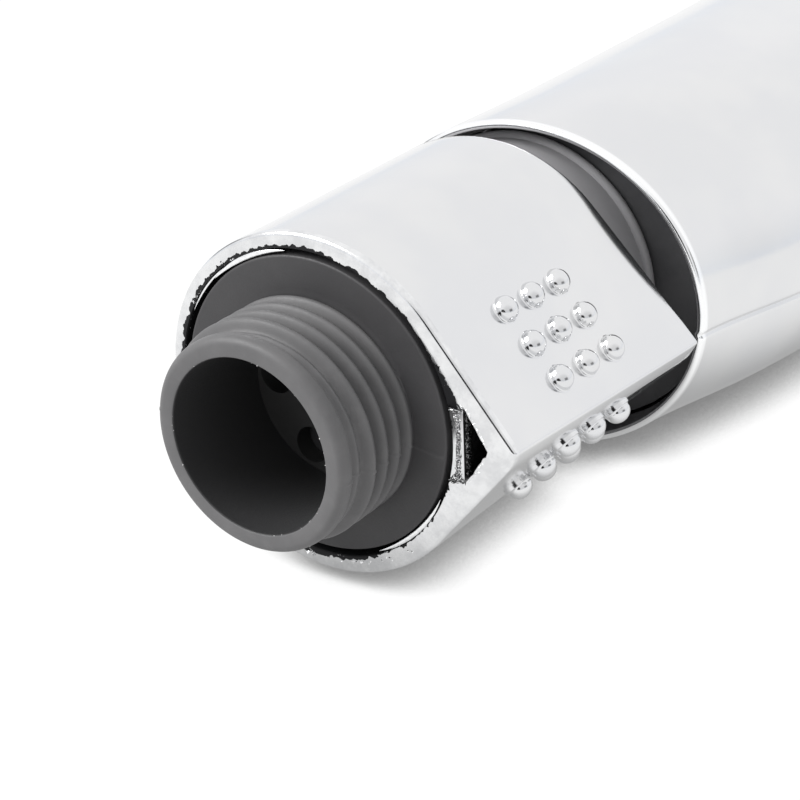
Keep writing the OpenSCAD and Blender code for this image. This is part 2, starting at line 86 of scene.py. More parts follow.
# Camera: place, turn in degrees, lens and sensor in mm, near clip in metres
CAMERA_AT = (107.86, -129.70, 84.24)
CAMERA_TURN = (64.449, 2.043, 34.347)
CAMERA_LENS = 100.47
CAMERA_SENSOR = 36
CAMERA_NEAR = 0.005

# Key light: a disk, with its width in mm and its power in watts
KEY_AT = (-720, -640, 880)
KEY_AIM = (0, 40, 0)
KEY_SIZE = 900
KEY_POWER = 17.0

# World: sky colours by height (0 straight down, 1 straight up); patches as direction,
# inner and outer angle in degrees and level; walls as spans of the direction's parts
WORLD_LEVEL = 1.04
SKY = [(0.0, (0.90, 0.92, 0.96)), (0.5, (0.87, 0.90, 0.95)), (0.58, (0.93, 0.94, 0.96)),
       (0.72, (0.99, 0.99, 1.0)), (1.0, (1.0, 1.0, 1.0))]
PHOTOGRAPHER = ((0.33, -0.94, 0.08), 15, 22, 0.02)
DIM_SIDE = ((0.9, -0.4, 0.1), 20, 60, 0.8)
WALL_LEVEL = 0.3
WALL_ACROSS = (0.015, 0.09)
WALL_FOOT = (0.02, 0.12)
WALL_TOP = (0.26, 0.46)

# Floor: reach of its painted contact shadow, the openness over which it fades, and its
# glow; the mirrored values set the wider painted shade that only reflections see
FLOOR_SIZE = 6000
FLOOR_GAP = 0.05
FLOOR_GLOW = 1.03
SHADOW_REACH = 8.0
SHADOW_SPAN = (0.12, 0.54)
SHADOW_GLOW = 0.2
SHADOW_SAMPLES = 12
MIRRORED_REACH = 45.0
MIRRORED_SPAN = (0.2, 0.88)
MIRRORED_GLOW = (0.42, 1.0)

# Inlet stem
THREAD_R = MOUNTS["inlet_thread"]["dims"]["r_mm"]
BORE_R = MOUNTS["inlet_bore"]["dims"]["r_mm"]
ROOT_R = 9.32
LIP_R = 9.93
LIP_ROUND = 0.75
LIP_FALL = (1.25, 1.85)
THREAD_PITCH = 1.814
THREAD_AT = 3.83
THREAD_EASE = 0.3
RIDGE_POWER = 1.35
RUN_OUT_END = math.radians(-110)
LAND_HEIGHT = 0.34
LAND_RISE = (1.95, 2.5)
MOULD_LINE_ANGLE = -7.0
MOULD_LINE_HEIGHT = 0.12
MOULD_LINE_WIDTH = 0.10
STEM_STEP = 0.1
BEAD_Y = 44.9
BEAD_R = 0.55
VALVE_CHAMBER_R = 8.6
ROTOR_CHAMBER_R = 11.2
ROTOR_CHAMBER_Y = 28.0
# Painted shade on the stem: darker from the rear of the thread over the step, fading along
# the core inside the collar's bore
STEM_SHADE_START = (9.2, 9.46)
STEM_SHADE_END = (9.6, 14)
STEM_PALE = (36, 39)

# Check valve
SPRING_WIRE_R = 0.35
SPRING_TURNS = 5

# Control collar: ends of the nose as (x, z) at the front and at the rear
TIP = ((20.6, 0.3), (22.4, -0.35))
NOSE = ((19.95, -1.25), (21.35, -2.15))
CORNER_SOFT = 0.12
REAR_BULGE = 0.4
RIM_FALL = 0.07
RIM_REACH = 2.1
EDGE_FILLET = 0.5
LOWER_SWELL = 0.4
BORE_GAP = 0.57
LAND_GAP = 0.05
LAND = (25.2, 36.0)
REAR_EDGE = ((0.5, 0), (0.25, 0.03), (0.08, 0.14), (0, 0.4))
POCKET_DEPTH = 6.5
POCKET_INNER_X = 15.6
POCKET_HALF = 3.6
POCKET_TIP_X = 17.9
POCKET_TIP_HALF = 0.12
POCKET_STEP = 0.35
POCKET_WOBBLE = 0.035
RIB_HALF = 3.5
RIB_ROUND = 0.8
RIB_SWELL = 0.45

# Torn plating at the collar's mouth; curls as start and end angle, radius and width
CRUMPLED_Y = 10.4
BARE_R = 14.66
BARE_Y = 16.0
TEETH = 96
TOOTH = 0.05
JAG = 1.3
LEAN = (-0.8, 0.35)
LEAN_DEPTH = 0.018
LOW_SPAN = (-12.4, -14.6)
LOW_DEPTH = 0.42
WEDGE_FROM_Z = 3.3
WEDGE_X = (11.0, 15.0)
WEDGE_Z = (9.0, 4.0)
POCKET_SPECKS = 70
RIM_SPECKS = 110
RIM_CHIPS = 26
RIM_CHIP_ANGLES = (-112, -48)
RIM_CHIP_RADII = (14.95, 15.4)
CURLS = ((99, 136, 14.24, 0.5), (128, 154, 14.36, 0.2), (-64, -24, 14.24, 0.44),
         (-14, 14, 14.5, 0.14))

# Grip domes: middle as y and distance from the tip; shift, shear and lift by side
DOME_R = 1.19
DOME_RISE = 0.86
DOME_ROOT = 0.7
DOME_FILLET = 0.22
DOME_GRID = 3
DOME_PITCH = (4.04, 3.74)
DOME_MID = (23.72, 7.44)
DOME_SHIFT = {1: (-0.22, -0.37, 0.0), -1: (0.4, 0.0, 0.3)}

# Handle: outline as (y, value) knots, taken from the CAD source
SHELL_WALL = 1.5
RIM_WALL = 0.8
RIM_Y = 42.0
RING_STEP = 0.8
SEAM_Z = -1.35
CAP_Y = 212.0
CAP_LENGTH = 18.0
FACE_TILT = math.radians(11)
FACE_MID = (22.3, 179.0)
FACE_STRAIGHT = 56.0
FACE_CLEAR_R = 11.7
FACE_FROM_Y = 130
FACE_DROP = 3.0
FACE_SKIN = 1.2
FACE_SOFT = 1.0
SEAM_DEPTH = 0.2
SEAM_WIDTH = 0.25
FRONT_KNOTS = [(42, 21.1), (58, 25.2), (74, 27.3), (90, 27.4), (106, 26.3), (122, 26.5),
               (136, 31), (150, 33.5), (166, 32.5), (182, 29.5), (198, 26), (212, 22)]
HALF_Z_KNOTS = [(42, 16.5), (74, 16.5), (106, 15.8), (122, 16), (138, 17), (154, 17.5),
                (182, 17.5), (212, 16.9)]
POWER_KNOTS = [(42, 2), (74, 2.15), (106, 2.4), (138, 2.8), (170, 3), (212, 2.8)]
BACK_KNOTS = [(42, -16.6), (66, -16.3), (150, -16), (182, -16), (212, -14.8)]


# ---------------------------------------------------------------- small tools

def node_box(name):
    """A CAD node's lowest and highest corners, in mm."""
    low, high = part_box(name)
    return np.array(low) / MM, np.array(high) / MM


def arc(start, stop, count):
    """Angles in radians from start to stop, given in degrees."""
    return np.radians(np.linspace(start, stop, count))


def smoothstep(low, high, value):
    """0 below low and 1 above high, with a smooth rise between them."""
    t = np.clip((value - low) / (high - low), 0, 1)
    return t * t * (3 - 2 * t)


def on_axis(radius, y, angle):
    """A point at a radius and angle (from +X towards +Z) round the inlet axis."""
    return np.stack([radius * np.cos(angle), np.broadcast_to(y, np.shape(angle)),
                     radius * np.sin(angle)], axis=-1)


def placed(name, data):
    """An object of a mesh, light or camera, linked to the scene."""
    obj = bpy.data.objects.new(name, data)
    bpy.context.scene.collection.objects.link(obj)
    return obj


def finish_mesh(name, mesh, body, look, sharp):
    """Makes an object of a mesh in mm, and gives it its body, slot and material. A
    mesh that already has its materials comes with no look."""
    mesh.validate()
    mesh.transform(Matrix.Scale(MM, 4))
    obj = placed(name, mesh)
    if look is not None:
        mesh.materials.append(look)
    mesh.shade_smooth()
    mesh.set_sharp_from_angle(angle=math.radians(sharp))
    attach(obj, body)
    return obj


def skin(name, rows, round_closed=True, loop_closed=False):
    """A mesh over a grid of points: rows of equal length, closed round each row
    and, if asked, from the last row to the first."""
    rows = np.asarray(rows, float)
    n, m = rows.shape[:2]
    i = np.arange(n if loop_closed else n - 1)
    j = np.arange(m if round_closed else m - 1)
    a, b = np.meshgrid(i, j, indexing="ij")
    a2, b2 = (a + 1) % n, (b + 1) % m
    faces = np.stack([a * m + b, a * m + b2, a2 * m + b2, a2 * m + b], -1).reshape(-1, 4)
    mesh = bpy.data.meshes.new(name)
    mesh.from_pydata(rows.reshape(-1, 3).tolist(), [], faces.tolist())
    bm = bmesh.new()
    bm.from_mesh(mesh)
    bmesh.ops.remove_doubles(bm, verts=bm.verts, dist=1e-5)
    bmesh.ops.recalc_face_normals(bm, faces=bm.faces)
    bm.to_mesh(mesh)
    bm.free()
    return mesh


def joined(name, meshes):
    """One mesh of several."""
    bm = bmesh.new()
    for mesh in meshes:
        bm.from_mesh(mesh)
    result = bpy.data.meshes.new(name)
    bm.to_mesh(result)
    bm.free()
    return result


# ------------------------------------------------------------------ materials

class Tree:
    """A node tree, with short calls for the nodes that materials and the world use."""

    def __init__(self, tree, coordinates):
        self.tree = tree
        self.place = self.add("ShaderNodeTexCoord").outputs[coordinates]

    def add(self, kind, **values):
        node = self.tree.nodes.new(kind)
        for key, value in values.items():
            setattr(node, key, value)
        return node

    def link(self, out, socket):
        self.tree.links.new(out, socket)

    def feed(self, value, socket):
        """Sets a socket to a number, or links an output to it."""
        if isinstance(value, (int, float)):
            socket.default_value = value
        else:
            self.link(value, socket)

    def math(self, operation, *values):
        node = self.add("ShaderNodeMath", operation=operation)
        for socket, value in zip(node.inputs, values):
            self.feed(value, socket)
        return node.outputs[0]

    def times(self, *values):
        return functools.reduce(lambda a, b: self.math("MULTIPLY", a, b), values)

    def plus(self, *values):
        return functools.reduce(lambda a, b: self.math("ADD", a, b), values)

    def ramp(self, value, low, high, low_out, high_out):
        """A smooth change from low_out to high_out as the value goes from low to high."""
        node = self.add("ShaderNodeMapRange", interpolation_type="SMOOTHSTEP")
        self.link(value, node.inputs["Value"])
        for key, number in zip(("From Min", "From Max", "To Min", "To Max"),
                               (low, high, low_out, high_out)):
            node.inputs[key].default_value = number
        return node.outputs["Result"]

    def parts(self):
        """The three coordinates of a place."""
        node = self.add("ShaderNodeSeparateXYZ")
        self.link(self.place, node.inputs[0])
        return list(node.outputs)


class Nodes(Tree):
    """A material's node tree round its main shader."""

    def __init__(self, name):
        self.material = bpy.data.materials.new(name)
        self.material.use_nodes = True
        super().__init__(self.material.node_tree, "Object")
        self.shader = self.tree.nodes["Principled BSDF"]

    def noise(self, per_mm, detail=3.0, rough=0.55, place=None):
        node = self.add("ShaderNodeTexNoise")
        node.inputs["Scale"].default_value = per_mm / MM
        node.inputs["Detail"].default_value = detail
        node.inputs["Roughness"].default_value = rough
        self.link(place or self.place, node.inputs["Vector"])
        return node.outputs["Fac"]

    def cells(self, per_mm):
        node = self.add("ShaderNodeTexVoronoi")
        node.inputs["Scale"].default_value = per_mm / MM
        self.link(self.place, node.inputs["Vector"])
        return node.outputs["Distance"]

    def stretched(self, x, y, z):
        node = self.add("ShaderNodeMapping")
        node.inputs["Scale"].default_value = (x, y, z)
        self.link(self.place, node.inputs["Vector"])
        return node.outputs["Vector"]

    def mix(self, factor, a, b):
        """A colour from a to b; each is a colour or an output."""
        node = self.add("ShaderNodeMix", data_type="RGBA")
        self.link(factor, node.inputs["Factor"])
        for socket, value in ((node.inputs[6], a), (node.inputs[7], b)):
            if isinstance(value, tuple):
                socket.default_value = (*value, 1)
            else:
                self.link(value, socket)
        return node.outputs[2]

    def bump(self, height, depth_mm, strength, after=None):
        """A bumped normal, on top of the one it comes after."""
        node = self.add("ShaderNodeBump")
        node.inputs["Strength"].default_value = strength
        node.inputs["Distance"].default_value = depth_mm * MM
        self.link(height, node.inputs["Height"])
        if after is not None:
            self.link(after, node.inputs["Normal"])
        return node.outputs["Normal"]

    def set(self, **values):
        """Sets the shader's sockets to numbers or outputs, and returns the material."""
        names = {"color": "Base Color", "rough": "Roughness", "metal": "Metallic",
                 "normal": "Normal", "coat": "Coat Weight",
                 "specular": "Specular IOR Level", "subsurface": "Subsurface Weight"}
        for key, value in values.items():
            self.feed(value, self.shader.inputs[names[key]])
        return self.material

    def axis_parts(self):
        """Radius from the inlet axis and the three coordinates, in mm."""
        x, y, z = (self.times(part, 1 / MM) for part in self.parts())
        radius = self.math("SQRT", self.plus(self.times(x, x), self.times(z, z)))
        return radius, x, y, z


def moulded(name, color, darker, rough):
    """Satin moulded plastic with fine grain and flow mottling."""
    n = Nodes(name)
    mottle = n.ramp(n.noise(0.16, 4), 0.35, 0.7, 0, 1)
    grit = n.noise(9.0, 2)
    normal = n.bump(grit, 0.012, 0.6)
    normal = n.bump(n.noise(0.9, 3), 0.03, 0.4, normal)
    n.set(color=n.mix(mottle, darker, color), rough=n.ramp(grit, 0.3, 0.7, rough - 0.06,
                                                           rough + 0.06))
    return n.set(normal=normal, specular=0.45)


def stem_plastic():
    """Grey moulded stem: pale flow marks, painted shade in its bore and on the step behind
    its thread, and paler behind the collar."""
    n = Nodes("stem_plastic")
    radius, _, y, _ = n.axis_parts()
    mottle = n.ramp(n.noise(0.14, 4), 0.3, 0.72, 0, 1)
    streak = n.ramp(n.noise(0.5, 5, 0.6, n.stretched(1, 0.25, 1)), 0.45, 0.75, 0, 0.35)
    grey = n.mix(mottle, (0.104, 0.103, 0.105), (0.124, 0.122, 0.124))
    grey = n.mix(streak, grey, (0.15, 0.148, 0.15))
    # painted shade: the bore's wall is coloured near black
    bore = n.math("LESS_THAN", radius, BORE_R + 0.08)
    # painted shade on the step behind the thread and in the gap inside the collar
    step = n.times(n.ramp(y, *STEM_SHADE_START, 0, 0.75), n.ramp(y, *STEM_SHADE_END, 1, 0))
    grey = n.mix(step, grey, (0.027, 0.026, 0.028))
    grey = n.mix(n.ramp(y, *STEM_PALE, 0, 1), grey, (0.31, 0.306, 0.315))
    grit = n.noise(7.0, 3)
    normal = n.bump(grit, 0.012, 0.7)
    normal = n.bump(n.noise(1.1, 3), 0.035, 0.45, normal)
    n.set(color=n.mix(bore, grey, (0.034, 0.034, 0.035)))
    return n.set(rough=n.ramp(grit, 0.3, 0.7, 0.42, 0.55), normal=normal, specular=0.4)


def plated(name):
    """Plating over moulded plastic, with faint orange peel, hazy patches and fine dust:
    its nodes, tint, roughness and normal."""
    n = Nodes(name)
    haze = n.ramp(n.noise(0.11, 4), 0.35, 0.7, 0, 1)
    tint = n.mix(haze, (0.745, 0.75, 0.762), (0.775, 0.777, 0.78))
    grain = n.noise(7.5, 4)
    normal = n.bump(n.noise(1.3, 3), 0.010, 0.35)
    normal = n.bump(grain, 0.004, 0.35, normal)
    shine = n.plus(n.ramp(haze, 0, 1, 0.11, 0.15), n.ramp(grain, 0.55, 0.8, 0, 0.08))
    return n, tint, shine, normal


def chrome_plating():
    """Plating of the handle, domes and bezel, with a painted highlight: a near-white tint
    on the handle's rounded lip.
    """
    n, tint, shine, normal = plated("chrome_plating")
    _, _, y, _ = n.axis_parts()
    # painted highlight: the tint turns near white on the handle's rounded lip
    lip = n.times(n.math("GREATER_THAN", y, RIM_Y - 0.1),
                  n.ramp(y, RIM_Y + 0.55, RIM_Y + 0.95, 1, 0))
    return n.set(color=n.mix(lip, tint, (0.96, 0.965, 0.97)), rough=shine, metal=1.0,
                 normal=normal)


def collar_plating():
    """Plating of the collar: crumpled at the front, and torn to a ragged edge at the
    mouth, where black plastic is bare."""
    n, tint, shine, normal = plated("collar_plating")
    radius, x, y, z = n.axis_parts()
    rim = n.math("LESS_THAN", y, CRUMPLED_Y)
    crumple = n.ramp(n.noise(0.32, 4, 0.7), 0.35, 0.65, 0, 1)
    tint = n.mix(rim, tint, n.mix(crumple, (0.70, 0.705, 0.715), (0.84, 0.845, 0.85)))
    turn = n.math("ARCTAN2", z, x)
    teeth = n.times(n.math("SINE", n.times(turn, TEETH)), TOOTH)
    jag = n.times(n.math("SUBTRACT", n.noise(0.8, 3, 0.65), 0.5), JAG)
    side = n.times(n.plus(n.times(x, LEAN[0]), n.times(z, LEAN[1])), LEAN_DEPTH)
    low = n.ramp(z, *LOW_SPAN, 0, LOW_DEPTH)
    wedge = n.times(n.math("GREATER_THAN", z, WEDGE_FROM_Z), n.ramp(x, *WEDGE_X, 0, 1),
                    n.ramp(z, *WEDGE_Z, 0, 1))
    edge = n.plus(BARE_R, side, teeth, jag, low, wedge)
    bare = n.times(n.math("LESS_THAN", radius, edge), n.math("LESS_THAN", y, BARE_Y))
    flake = n.math("GREATER_THAN", n.noise(0.55, 5, 0.8), 0.63)
    bare = n.times(bare, n.math("SUBTRACT", 1.0, flake))
    n.set(color=n.mix(bare, tint, (0.012, 0.012, 0.013)))
    n.set(rough=n.plus(shine, n.times(bare, 0.4)))
    return n.set(metal=n.math("SUBTRACT", 1.0, bare), normal=normal, specular=0.15)


def bright_edges():
    """Torn plating: bright, hardly hazed, with a fine crumple."""
    n = Nodes("bright_edges")
    crumple = n.noise(3.0, 4, 0.65)
    n.set(color=n.mix(n.ramp(crumple, 0.3, 0.6, 0, 1), (0.80, 0.805, 0.81),
                      (0.96, 0.965, 0.97)))
    return n.set(rough=n.ramp(crumple, 0.3, 0.7, 0.1, 0.2), metal=1.0,
                 normal=n.bump(crumple, 0.03, 0.6))


def crusted_plating():
    """Rough plating that has built up on a thin rib."""
    n = Nodes("crusted_plating")
    lumps = n.noise(5.0, 4, 0.7)
    speck = n.ramp(lumps, 0.47, 0.53, 0, 1)
    n.set(color=n.mix(speck, (0.05, 0.05, 0.052), (0.80, 0.805, 0.81)))
    return n.set(rough=n.ramp(lumps, 0.35, 0.65, 0.35, 0.12), metal=1.0,
                 normal=n.bump(lumps, 0.16, 1.0))


def bare_cavity():
    """Unplated black plastic deep in a pocket."""
    n = Nodes("bare_cavity")
    lumps = n.noise(2.0, 4)
    n.set(color=n.mix(n.ramp(lumps, 0.4, 0.7, 0, 1), (0.004, 0.004, 0.004),
                      (0.02, 0.02, 0.021)))
    return n.set(rough=n.ramp(lumps, 0.3, 0.7, 0.5, 0.7), normal=n.bump(lumps, 0.05, 0.6))


def spring_steel():
    """Drawn stainless steel with fine lines along the inlet axis."""
    n = Nodes("spring_steel")
    lines = n.noise(6.0, 3, 0.6, n.stretched(1, 0.08, 1))
    n.set(color=n.mix(n.ramp(lines, 0.35, 0.65, 0, 1), (0.42, 0.42, 0.43),
                      (0.66, 0.66, 0.67)))
    return n.set(rough=n.ramp(lines, 0.3, 0.7, 0.2, 0.36), metal=1.0,
                 normal=n.bump(lines, 0.01, 0.5))


def black_rubber():
    """Nitrile rubber with a dull bloom."""
    n = Nodes("black_rubber")
    bloom = n.ramp(n.noise(0.7, 5), 0.45, 0.75, 0, 1)
    grit = n.noise(11.0, 2)
    n.set(color=n.mix(bloom, (0.012, 0.012, 0.012), (0.035, 0.034, 0.034)))
    return n.set(rough=n.ramp(grit, 0.3, 0.7, 0.5, 0.68), normal=n.bump(grit, 0.01, 0.6))


def tip_silicone():
    """Soft blue-grey silicone, a little translucent, with dust on it."""
    n = Nodes("tip_silicone")
    dust = n.ramp(n.cells(1.4), 0.05, 0.3, 1, 0)
    n.set(color=n.mix(dust, (0.2, 0.235, 0.28), (0.3, 0.33, 0.36)))
    return n.set(rough=n.ramp(n.noise(5.0), 0.3, 0.7, 0.38, 0.52), subsurface=0.06,
                 normal=n.bump(n.noise(4.0), 0.015, 0.5))


def disc_ceramic():
    """Lapped alumina: ivory, fine grain, very smooth."""
    n = Nodes("disc_ceramic")
    grain = n.cells(5.0)
    n.set(color=n.mix(n.ramp(grain, 0.1, 0.6, 0, 1), (0.80, 0.78, 0.73),
                      (0.88, 0.865, 0.82)))
    return n.set(rough=n.ramp(n.noise(2.0), 0.3, 0.7, 0.16, 0.26), coat=0.3,
                 normal=n.bump(grain, 0.003, 0.4))


def spray_face():
    """Satin grey plate with patches of limescale."""
    n = Nodes("spray_face")
    scale = n.ramp(n.noise(0.45, 5, 0.65), 0.55, 0.8, 0, 0.45)
    n.set(color=n.mix(scale, (0.12, 0.122, 0.126), (0.34, 0.345, 0.35)))
    grit = n.noise(8.0, 3)
    return n.set(rough=n.ramp(grit, 0.3, 0.7, 0.34, 0.5), specular=0.5,
                 normal=n.bump(grit, 0.012, 0.6))


def floor_paper():
    """A white light table that glows evenly, with a painted contact shadow right beside the
    object, and a wider painted shade where the plating mirrors it."""
    n = Nodes("floor_paper")
    tooth = n.noise(1.0, 2)

    def openness(reach):
        node = n.add("ShaderNodeAmbientOcclusion", samples=SHADOW_SAMPLES)
        node.inputs["Distance"].default_value = reach * MM
        return node.outputs["AO"]

    # painted contact shadow: the glow seen directly dims where ambient occlusion finds the
    # object near
    direct = n.ramp(openness(SHADOW_REACH), *SHADOW_SPAN, SHADOW_GLOW, FLOOR_GLOW)
    # painted shade seen only in reflections: a wider, deeper dimming of the glow
    mirrored = n.ramp(openness(MIRRORED_REACH), *MIRRORED_SPAN, *MIRRORED_GLOW)
    seen = n.add("ShaderNodeLightPath").outputs["Is Camera Ray"]
    glow = n.plus(n.times(direct, seen),
                  n.times(mirrored, n.math("SUBTRACT", 1.0, seen)))
    n.link(glow, n.shader.inputs["Emission Strength"])
    n.shader.inputs["Emission Color"].default_value = (1, 1, 1, 1)
    n.set(color=n.mix(n.ramp(tooth, 0.3, 0.7, 0, 1), (0.02, 0.02, 0.02),
                      (0.022, 0.022, 0.022)))
    return n.set(rough=n.ramp(tooth, 0.3, 0.7, 0.85, 0.95), specular=0.0)


# ---------------------------------------------------------------- inlet stem

def thread_radius(y, angle):
    """Outer radius of the lip, the land behind it and the thread: rounded right-hand
    ridges that begin with a run-out and end at the core's front face."""
    turns = (y - THREAD_AT) / THREAD_PITCH + angle / (2 * math.pi)
    ridge = 1 - (0.5 - 0.5 * np.cos(2 * math.pi * turns)) ** RIDGE_POWER
    run_out = 1 - smoothstep(-math.pi, RUN_OUT_END, angle)
    start = THREAD_AT - THREAD_PITCH * (0.5 + run_out + angle / (2 * math.pi))
    begun = smoothstep(start - THREAD_EASE, start + THREAD_EASE, y)
    thread = (THREAD_R - ROOT_R) * ridge * begun
    lip = (LIP_R - ROOT_R) * (1 - smoothstep(*LIP_FALL, y))
    land = LAND_HEIGHT * smoothstep(*LAND_RISE, y) * (1 - begun)
    return ROOT_R + lip + land + thread


def mould_line(radius, angle):
    """Height of the mould's parting ridge at an angle, on both sides of the stem."""
    height = 0
    for at in (MOULD_LINE_ANGLE, MOULD_LINE_ANGLE + 180):
        off = np.angle(np.exp(1j * (angle - math.radians(at)))) * radius
        height = height + MOULD_LINE_HEIGHT * np.exp(-(off / MOULD_LINE_WIDTH) ** 2)
    return height


def inlet_stem(look):
    """Lip, thread, core and its chambers as one closed turned skin."""
    angle = arc(-180, 180, 541)[:-1]
    core_r, core_rear, _ = node_box("inlet_stem")[1]
    core_front = node_box("control_collar")[0][1] + 0.02
    floor_y = node_box("strainer_plate")[0][1]
    flat = np.ones_like(angle)
    rows = [on_axis(BORE_R * flat, y, angle) for y in (floor_y, 6.0, 2.0, 0.6, 0.3)]
    for a in arc(0, 90, 5):
        rows.append(on_axis((BORE_R + 0.18 * (1 - np.cos(a))) * flat,
                            0.2 * (1 - np.sin(a)), angle))
    for a in arc(90, 0, 9):
        radius = LIP_R - LIP_ROUND * (1 - np.cos(a))
        rows.append(on_axis(radius + 0.6 * mould_line(radius, angle),
                            LIP_ROUND * (1 - np.sin(a)), angle))
    for y in np.arange(LIP_ROUND + STEM_STEP, core_front - 0.05, STEM_STEP):
        radius = thread_radius(y, angle)
        rows.append(on_axis(radius + mould_line(radius, angle), y, angle))
    for radius in np.linspace(THREAD_R + 0.02, core_r - 0.25, 8):
        rows.append(on_axis(radius * flat, core_front - 0.8 * mould_line(radius, angle),
                            angle))
    for a in arc(90, 0, 4):
        rows.append(on_axis((core_r - 0.2 * (1 - np.cos(a))) * flat,
                            core_front + 0.2 * (1 - np.sin(a)), angle))
    for radius, y in ((core_r, 24.0), (core_r, 38.0), (core_r, BEAD_Y - BEAD_R)):
        rows.append(on_axis(radius * flat, y, angle))
    for a in arc(-90, 90, 9)[1:-1]:
        rows.append(on_axis((core_r + BEAD_R * math.cos(a)) * flat,
                            BEAD_Y + BEAD_R * math.sin(a), angle))
    for radius, y in ((core_r, BEAD_Y + BEAD_R), (core_r, core_rear),
                      (ROTOR_CHAMBER_R, core_rear), (ROTOR_CHAMBER_R, ROTOR_CHAMBER_Y),
                      (VALVE_CHAMBER_R, ROTOR_CHAMBER_Y), (VALVE_CHAMBER_R, floor_y)):
        rows.append(on_axis(radius * flat, y, angle))
    mesh = skin("inlet_stem_moulding", rows, loop_closed=True)
    obj = finish_mesh("inlet_stem_moulding", mesh, "handle", look, 50)
    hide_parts("inlet_stem")
    return obj


def chips(name, places, sizes, body, look):
    """Small angular chips with a random turn, one at each place."""
    bm = bmesh.new()
    for place, size in zip(places, sizes):
        corners = RNG.normal(size=(7, 3))
        corners /= np.linalg.norm(corners, axis=1)[:, None]
        corners *= size * RNG.uniform(0.5, 1, (7, 1)) * (1, 0.7, 0.8)
        verts = [bm.verts.new(tuple(place + c)) for c in corners]
        bmesh.ops.convex_hull(bm, input=verts)
    mesh = bpy.data.meshes.new(name)
    bm.to_mesh(mesh)
    bm.free()
    return finish_mesh(name, mesh, body, look, 20)


def lip_flash(look):
    """Specks of moulding flash along the edge of the bore and on the lip."""
    angles = np.radians(np.concatenate([RNG.uniform(-75, 80, 26), RNG.uniform(80, 280, 8)]))
    radii = BORE_R + 0.05 + np.abs(RNG.normal(0, 0.08, len(angles)))
    places = [on_axis(r, RNG.uniform(0.02, 0.12), a) for r, a in zip(radii, angles)]
    sizes = RNG.uniform(0.07, 0.16, len(angles))
    return chips("lip_flash", places, sizes, "handle", look)


def check_spring(look):
    """The check valve's coil, wound over the length of its CAD node."""
    low, high = node_box("check_spring")
    side = arc(0, 360, 13)[:-1]
    rows = []
    for t in np.linspace(0, 1, 40 * SPRING_TURNS + 1):
        wire = SPRING_WIRE_R if 0 < t < 1 else 0.0
        y = low[1] + SPRING_WIRE_R + (high[1] - low[1] - 2 * SPRING_WIRE_R) * t
        rows.append(on_axis(high[0] - SPRING_WIRE_R + wire * np.cos(side),
                            y + wire * np.sin(side),
                            2 * math.pi * SPRING_TURNS * t + 0 * side))
    mesh = skin("check_spring_coil", rows)
    obj = finish_mesh("check_spring_coil", mesh, "handle", look, 60)
    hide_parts("check_spring")
    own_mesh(obj)
    return obj


# -------------------------------------------------------------- control collar

class Collar:
    """The collar's outline: a round barrel with two flats that meet at a blunt nose,
    measured on its CAD node."""

    def __init__(self):
        low, high = node_box("control_collar")
        self.front, self.rear = low[1], high[1]
        self.radius = high[2]
        self.bore = node_box("inlet_stem")[1][0] + BORE_GAP
        self.land = node_box("inlet_stem")[1][0] + LAND_GAP

    def at(self, ends, y):
        """A point between its place at the front and its place at the rear."""
        t = np.asarray((y - self.front) / (self.rear - self.front))[..., None]
        return (1 - t) * np.array(ends[0]) + t * np.array(ends[1])

    def tangent(self, point, side, radius):
        """Angle of the normal of the flat that runs from a point to the barrel."""
        reach = np.linalg.norm(point, axis=-1)
        return np.arctan2(point[..., 1], point[..., 0]) + side * np.arccos(
            radius / reach)

    def flats(self, y, angle):
        """For the upper flat, the lower flat and the nose: distance from the axis, and
        how far a direction is from the normal."""
        tip, low = self.at(TIP, y), self.at(NOSE, y)
        across = tip - low
        nose_angle = np.arctan2(-across[..., 0], across[..., 1])
        nose = tip[..., 0] * np.cos(nose_angle) + tip[..., 1] * np.sin(nose_angle)
        swell = self.radius + LOWER_SWELL * smoothstep(-2.9, -1.0, angle)
        off = (np.minimum(0, angle - self.tangent(tip, 1, self.radius)),
               np.maximum(0, angle - self.tangent(low, -1, swell)), angle - nose_angle)
        return [(d, np.clip(o, -1.3, 1.3)) for d, o in
                zip((self.radius, swell, nose), off)]

    def outline(self, y, angle, inset):
        """Radius of the outline at an angle, with its corners softly rounded."""
        reach = [(d - inset) / np.cos(o) for d, o in self.flats(y, angle)]
        return -CORNER_SOFT * np.log(sum(np.exp((self.radius - r) / CORNER_SOFT)
                                         for r in reach)) + self.radius

    def inset_of(self, radius, y, angle):
        """How far inside the outline a radius lies at an angle."""
        return np.minimum.reduce([d - radius * np.cos(o)
                                  for d, o in self.flats(y, angle)])

    def back(self, y, angle):
        """The rear edge stands a little further back at the flats."""
        t = np.clip((y - self.front) / (self.rear - self.front), 0, 1)
        return y + REAR_BULGE * t ** 4 * np.exp(-(angle / 0.9) ** 2)


def rim_height(inset):
    """How far the convex front rim falls back at an inset from the outline."""
    return RIM_FALL * np.maximum(0, RIM_REACH - inset) ** 2


